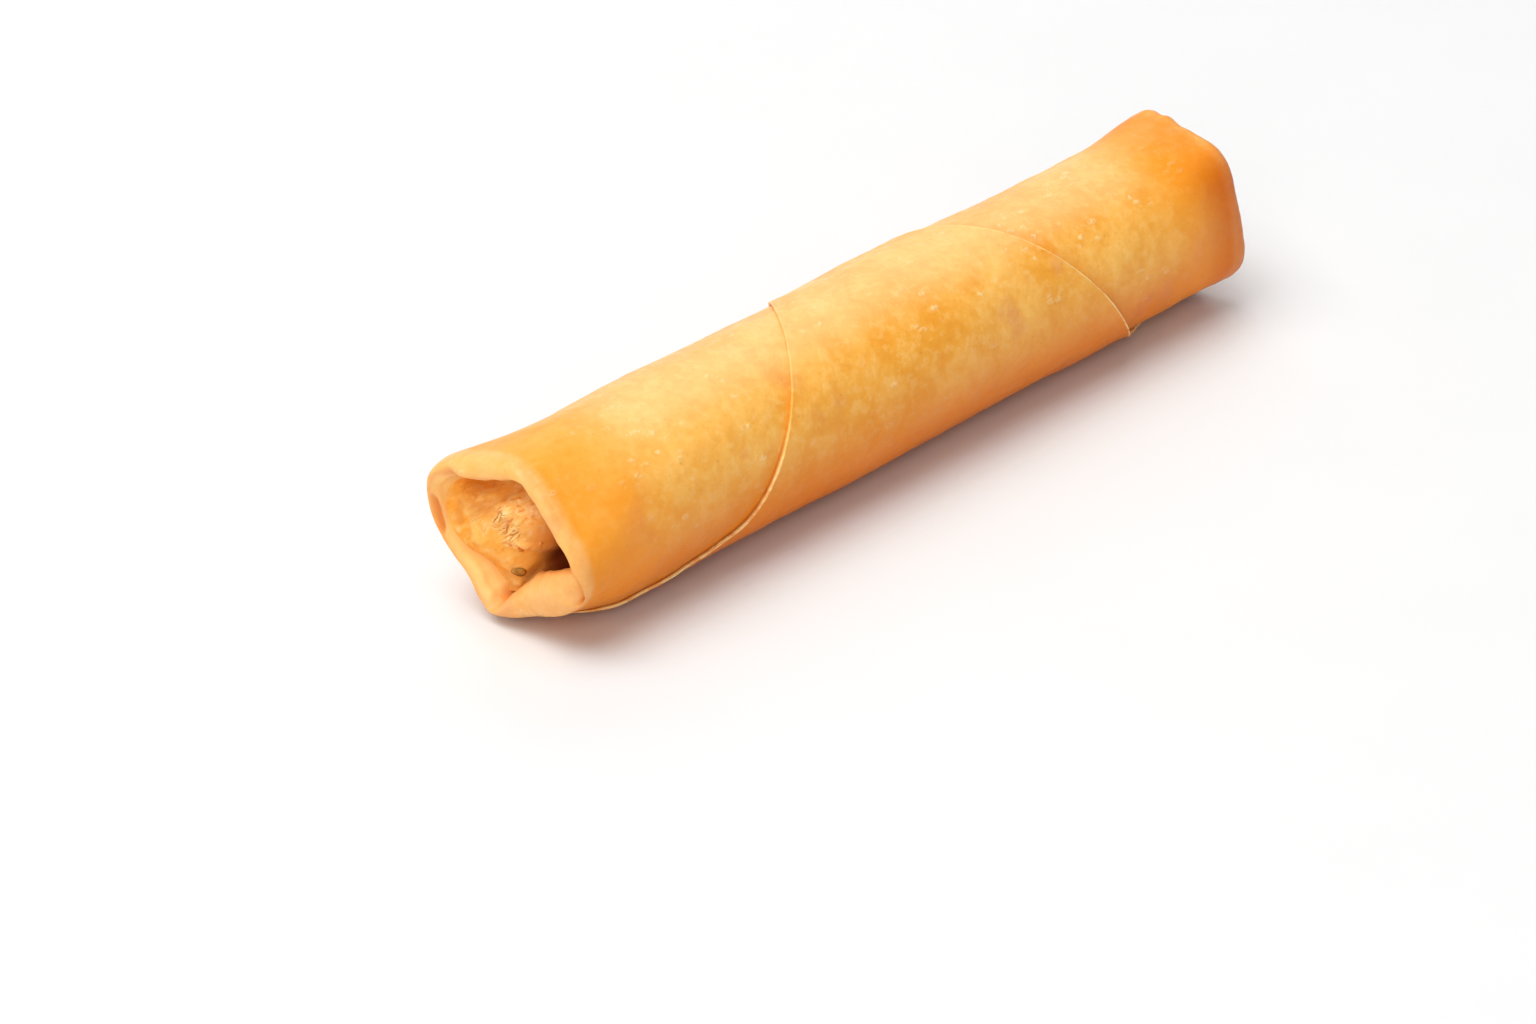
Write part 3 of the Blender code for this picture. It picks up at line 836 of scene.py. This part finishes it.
def recess(end, points):
    """Depth of the filling's end behind the rim, at points across the section."""
    right, up = -points[:, 1], points[:, 2]
    if end < 0:
        wide = np.where(right < FRONT_DOME[0], DOME_LEFT, DOME_RIGHT)
        tall = np.where(up < FRONT_DOME[1], DOME_DOWN, DOME_UP)
        dome = np.hypot((right - FRONT_DOME[0]) / wide, (up - FRONT_DOME[1]) / tall)
        depth = FRONT_DEPTH + FRONT_FALL * smooth_step((dome - 0.62) / 0.60)
        for middle, size, turned, sunk in HOLLOWS:
            depth += sunk * hump(right, up, middle, size, turned)
        for middle, size, turned, height in MOUNDS:
            depth -= height * hump(right, up, middle, size, turned)
    else:
        dome = np.hypot(right / BACK_DOME[0], up / BACK_DOME[1])
        depth = BACK_DEPTH + BACK_FALL * smooth_step((dome - 0.60) / 0.60)
        angle, radius = math.radians(BACK_HOLLOW[0]), BACK_HOLLOW[1]
        middle = (radius * math.sin(angle), radius * math.cos(angle))
        depth += HOLLOW_DEPTH * hump(right, up, middle, (HOLLOW_RADIUS, HOLLOW_RADIUS))
    return depth


def shreds(end, points):
    """Height of the shredded surface above the filling's even end."""
    right, up = -points[:, 1], points[:, 2]
    lumps = grain(points, 0.0036, 11 + end, 2) * 0.00036 + grain(points, 0.0014, 21 + end) * 0.00008
    lay = math.radians(FRONT_LAY if end < 0 else BACK_LAY)
    along = points @ np.array((0.0, -math.cos(lay), math.sin(lay)))
    across = points @ np.array((0.0, math.sin(lay), math.cos(lay)))
    bent = across + 0.0006 * grain(points, 0.0040, 31 + end)
    combed = np.stack([along / 0.0040, bent / 0.00075, points[:, 0] * 0.0], axis=1)
    ridged = 1.0 - 2.0 * np.abs(grain(combed, 1.0, 41 + end))
    return lumps + RIDGE_HEIGHT * ridged * hump(right, up, TORN_MIDDLE, TORN_SIZE, TORN_SLOPE)


def round_bit():
    """Points and faces of a small round lump of radius 1."""
    shape = bmesh.new()
    bmesh.ops.create_icosphere(shape, subdivisions=2, radius=1.0)
    points = np.array([vertex.co[:] for vertex in shape.verts])
    faces = [tuple(vertex.index for vertex in face.verts) for face in shape.faces]
    shape.free()
    return points, faces


def turned_axes(chance):
    """Three square axes turned any way."""
    return np.linalg.qr(chance.normal(size=(3, 3)))[0]


def add_bits(end, count, chance, parts):
    """Lumps of mince and chopped vegetables, half sunk in the filling's end."""
    template, faces = round_bit()
    for number in range(count):
        away = BIT_REACH * math.sqrt(chance.random())
        angle = 2.0 * math.pi * chance.random()
        centre = np.array([[0.0, away * math.sin(angle), away * math.cos(angle)]])
        size = chance.uniform(*BIT_SIZES)
        stretch = np.array((chance.uniform(0.8, 1.7), chance.uniform(0.5, 0.9), 0.8))
        depth = recess(end, centre)[0] - shreds(end, centre)[0] + 0.55 * size
        centre[0, 0] = end * (LENGTH / 2 - depth)
        lump = template * (1.0 + 0.35 * grain(template + 9.0 * number, 0.9, 5)[:, None])
        shape = (lump * stretch * size) @ turned_axes(chance)
        parts.append((shape + centre, faces, 0.5 + 0.45 * chance.random()))


def strand_path(end, chance):
    """A fibre's middle line over the filling's end, its slope and its thickness."""
    turned = math.radians(TORN_SLOPE)
    along, across = chance.normal(0.0, 0.6, 2) * TORN_SIZE
    middle_right = TORN_MIDDLE[0] + along * math.cos(turned) - across * math.sin(turned)
    middle_up = TORN_MIDDLE[1] + along * math.sin(turned) + across * math.cos(turned)
    lay = math.radians(chance.normal(FRONT_LAY if end < 0 else BACK_LAY, LAY_SPREAD))
    length, thick = chance.uniform(*STRAND_LENGTHS), chance.uniform(*STRAND_RADII)
    share = np.linspace(-1.0, 1.0, STRAND_STEPS)
    bow = chance.normal(0.0, 0.0005) * (1.0 - share ** 2)
    right = middle_right + math.cos(lay) * length / 2 * share - math.sin(lay) * bow
    up = middle_up + math.sin(lay) * length / 2 * share + math.cos(lay) * bow
    path = np.stack([right * 0.0, -right, up], axis=1)
    depth = recess(end, path) - shreds(end, path) + 0.10 * thick
    depth += chance.uniform(0.0, 0.0003) * np.abs(share) ** 3
    path[:, 0] = end * (LENGTH / 2 - depth)
    return path, share, lay, thick


def add_strands(end, count, chance, parts):
    """Shredded fibres that lie across the filling's end, those that stay inside the mouth."""
    round_angles = 2.0 * math.pi * np.arange(STRAND_SIDES) / STRAND_SIDES
    for number in range(count):
        path, share, lay, thick = strand_path(end, chance)
        kind = chance.random() * 0.4
        angle = np.degrees(np.arctan2(-path[:, 1], path[:, 2]))
        mouth = closed_curve(FRONT_MOUTH if end < 0 else BACK_MOUTH, angle)
        if np.any(np.hypot(path[:, 1], path[:, 2]) > mouth - STRAND_MARGIN):
            continue
        radius = thick * np.sqrt(np.maximum(1.0 - np.abs(share) ** 4, 0.02))
        radius = radius * (1.0 + 0.25 * np.sin(share * 9.0 + number))
        side = np.array((0.0, math.sin(lay), math.cos(lay)))
        out = np.array((float(end), 0.0, 0.0))
        spread = np.cos(round_angles)[:, None] * side + 0.6 * np.sin(round_angles)[:, None] * out
        tube = (path[:, None, :] + radius[:, None, None] * spread[None]).reshape(-1, 3)
        parts.append((tube, loft(STRAND_SIDES, STRAND_STEPS, False), kind))


def add_leaf(parts):
    """A dark scrap of leaf, low in the front end."""
    template, faces = round_bit()
    shape = template * (1.0 + 0.30 * grain(template + 3.0, 0.8, 5)[:, None])
    lump = shape * np.array((0.0, LEAF_SIZE[0], LEAF_SIZE[1]))
    slope = math.radians(LEAF_SLOPE)
    right = LEAF_MIDDLE[0] + lump[:, 1] * math.cos(slope) - lump[:, 2] * math.sin(slope)
    up = LEAF_MIDDLE[1] + lump[:, 1] * math.sin(slope) + lump[:, 2] * math.cos(slope)
    lump[:, 1], lump[:, 2] = -right, up
    depth = recess(-1, lump) - shreds(-1, lump) + LEAF_THICK * (shape[:, 0] - 0.3)
    lump[:, 0] = depth - LENGTH / 2
    parts.append((lump, [face[::-1] for face in faces], 0.98))


def filling_end(end, degrees, turn):
    """Rings of an end of the filling, from beside the wrapper to near its middle."""
    width = rim_width(end, degrees)
    mouth = outer_radius(end * LENGTH / 2, degrees, turn) - width
    behind_lip = RIM_LEAN * width + 2.0 * RIM_DEPTH + 2.0 * GAP
    funnel = far_wall(end, degrees)
    edge = throat_radius(end, degrees, turn) - 2.0 * GAP
    edge += (mouth - GAP - edge) * funnel
    inside_mouth = np.minimum(mouth - 1.5 * GAP, edge - GAP)
    inside_mouth += (mouth + CREEP - inside_mouth) * funnel
    rings = []
    for share in np.linspace(1.0, 0.01, FILLING_END_STEPS):
        ring = place(end * LENGTH / 2, degrees, inside_mouth * share)
        depth = recess(end, ring)
        under = smooth_step((share - 0.74) / 0.22) * (1.0 - funnel)
        depth += under * np.maximum(behind_lip - depth, 0.0)
        depth -= shreds(end, ring) * (1.0 - smooth_step((share - 0.9) / 0.1))
        depth -= MENISCUS * smooth_step((share - 0.84) / 0.16) * funnel
        depth = np.maximum(depth, SHALLOWEST)
        ring[:, 0] = end * (LENGTH / 2 - depth)
        rings.append(ring)
    skirt = LENGTH / 2 - end * rings[0][:, 0] + GAP
    skirt = np.maximum(skirt, behind_lip + GAP)
    rings.insert(0, place(end * (LENGTH / 2 - skirt), degrees, edge))
    return rings


def joined(parts):
    """Points and faces of all the parts as one, and the kind of each point."""
    points, faces, kinds = [], [], []
    count = 0
    for shape, sides, kind in parts:
        points.append(shape)
        faces += [tuple(index + count for index in face) for face in sides]
        kinds.append(np.full(len(shape), kind))
        count += len(shape)
    return np.concatenate(points), faces, np.concatenate(kinds)


def make_filling(shift):
    """The filling, moved with the wrapper into the row's frame."""
    start = edge_turn(-LENGTH / 2) + CORNER_ANGLE
    degrees = start + 360.0 * np.arange(FILLING_RING) / FILLING_RING
    turn = degrees - CORNER_ANGLE
    half = LENGTH / 2 - 0.75 * END_BLEND
    sides = [place(x, degrees, inner_radius(x, degrees) - 2.0 * GAP)
             for x in np.linspace(-half, half, 10)]
    rings = filling_end(-1, degrees, turn)[::-1] + sides + filling_end(1, degrees, turn)
    parts = [(np.concatenate(rings), loft(FILLING_RING, len(rings), False), 0.5)]
    chance = np.random.default_rng(7)
    for end in (-1, 1):
        add_bits(end, BITS, chance, parts)
        add_strands(end, STRANDS, chance, parts)
    add_leaf(parts)

    points, faces, kinds = joined(parts)
    piece = add_mesh("minced_filling", points + shift, faces, minced_filling())
    add_measure(piece, "kind", kinds)
    depth = (LENGTH / 2 - np.abs(points[:, 0])) * 1000.0
    # Painted shade deeper in the mouth; it also makes the filling rougher and less glossy there
    add_measure(piece, "depth", smooth_step((depth - 2.4) / 3.0))
    right, up = -points[:, 1], points[:, 2]
    # Patches of painted shade
    shade = sum(share * hump(right, up, middle, size, turned) for middle, size, turned, share in SHADES)
    add_measure(piece, "shade", np.minimum(shade, 1.0))
    front = points[:, 0] < 0.0
    # A ruddier mound, and painted shade in the groove across the front end
    ruddy_and_groove_shade = hump(right, up, *MOUNDS[0][:3]) + hump(right, up, GROOVE_MIDDLE, GROOVE_SHADE_SIZE, FRONT_LAY)
    pale = hump(right, up, *MOUNDS[1][:3]) + 0.7 * hump(right, up, *MOUNDS[2][:3])
    add_measure(piece, "ruddy_and_groove_shade", np.minimum(ruddy_and_groove_shade, 1.0) * front)
    add_measure(piece, "pale", np.minimum(pale, 1.0) * front)
    return piece


# ---------------------------------------------------------------- stage

def add_area_light(name, place_at, aim, power, size):
    """A soft white lamp that shines from one place towards another."""
    lamp = bpy.data.lights.new(name, "AREA")
    lamp.shape = "RECTANGLE"
    lamp.size, lamp.size_y = size
    lamp.energy = power
    light = bpy.data.objects.new(name, lamp)
    light.location = place_at
    light.rotation_mode = "QUATERNION"
    light.rotation_quaternion = (Vector(aim) - Vector(place_at)).to_track_quat("-Z", "Y")
    bpy.context.scene.collection.objects.link(light)


def add_floor():
    """A pale floor that sweeps up far behind the roll on every side."""
    floor_finish = Finish("pale_floor")
    speck = floor_finish.noise(40.0, 2.0, 0.5)
    floor_finish.put(Base_Color=floor_finish.mix(speck, (224, 224, 224), (227, 227, 227)),
                     Roughness=0.6)
    turns = np.linspace(0.0, math.pi / 2, COVE_STEPS)
    away = np.concatenate([FLOOR_RADIUS + COVE_RADIUS * np.sin(turns), [FLOOR_RADIUS + COVE_RADIUS]])
    height = np.concatenate([COVE_RADIUS * (1.0 - np.cos(turns)), [COVE_HEIGHT]])
    around = 2.0 * np.pi * np.arange(FLOOR_SIDES) / FLOOR_SIDES
    rings = [np.stack([r * np.cos(around), r * np.sin(around), np.full(FLOOR_SIDES, h)], axis=1)
             for r, h in zip(away, height)]
    points = np.concatenate(rings) - np.array((0.0, 0.0, 0.00002))
    faces = loft(FLOOR_SIDES, len(rings), False)[:-1]
    floor = add_mesh("floor", points, [face[::-1] for face in faces], floor_finish.material)


def add_camera(axis_centre):
    """A long lens that looks down on the front end and the near side."""
    around, rise = math.radians(-CAMERA_FROM_FRONT), math.radians(CAMERA_RISE)
    back = Vector((math.sin(around) * math.cos(rise), -math.cos(around) * math.cos(rise),
                   math.sin(rise)))
    right = Vector((math.cos(around), math.sin(around), 0.0))
    up = back.cross(right)
    lens = bpy.data.cameras.new("view")
    lens.lens = CAMERA_LENS
    lens.sensor_width = 36.0
    lens.clip_start, lens.clip_end = 0.01, 20.0
    camera = bpy.data.objects.new("view", lens)
    camera.location = (Vector(axis_centre) + back * CAMERA_AWAY
                       - right * CAMERA_SHIFT_RIGHT - up * CAMERA_SHIFT_UP)
    camera.rotation_mode = "QUATERNION"
    camera.rotation_quaternion = (-back).to_track_quat("-Z", "Y")
    bpy.context.scene.collection.objects.link(camera)
    bpy.context.scene.camera = camera


def add_lights():
    """An even pale sky, a large lamp overhead, and two weaker ones from the front and behind."""
    world = bpy.data.worlds.new("studio")
    world.use_nodes = True
    sky = world.node_tree.nodes["Background"]
    sky.inputs["Color"].default_value = (1.0, 1.0, 1.0, 1.0)
    sky.inputs["Strength"].default_value = 0.25
    bpy.context.scene.world = world
    add_area_light("overhead", (-0.36, 0.20, 1.30), (0.0, 0.0, 0.0), 21.0, (1.2, 1.2))
    add_area_light("front", (-1.20, -0.90, 0.90), (0.0, 0.0, 0.01), 8.0, (1.0, 1.0))
    add_area_light("behind", (0.80, 1.00, 0.90), (0.0, 0.0, 0.01), 4.0, (1.2, 0.8))


wrapper, row_shift = make_wrapper()
filling = make_filling(row_shift)
for piece, node in ((wrapper, "wrapper"), (filling, "filling")):
    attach(piece, "root")
    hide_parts(node)

add_floor()
add_lights()
add_camera(row_shift)
bpy.context.scene.view_settings.view_transform = "Standard"
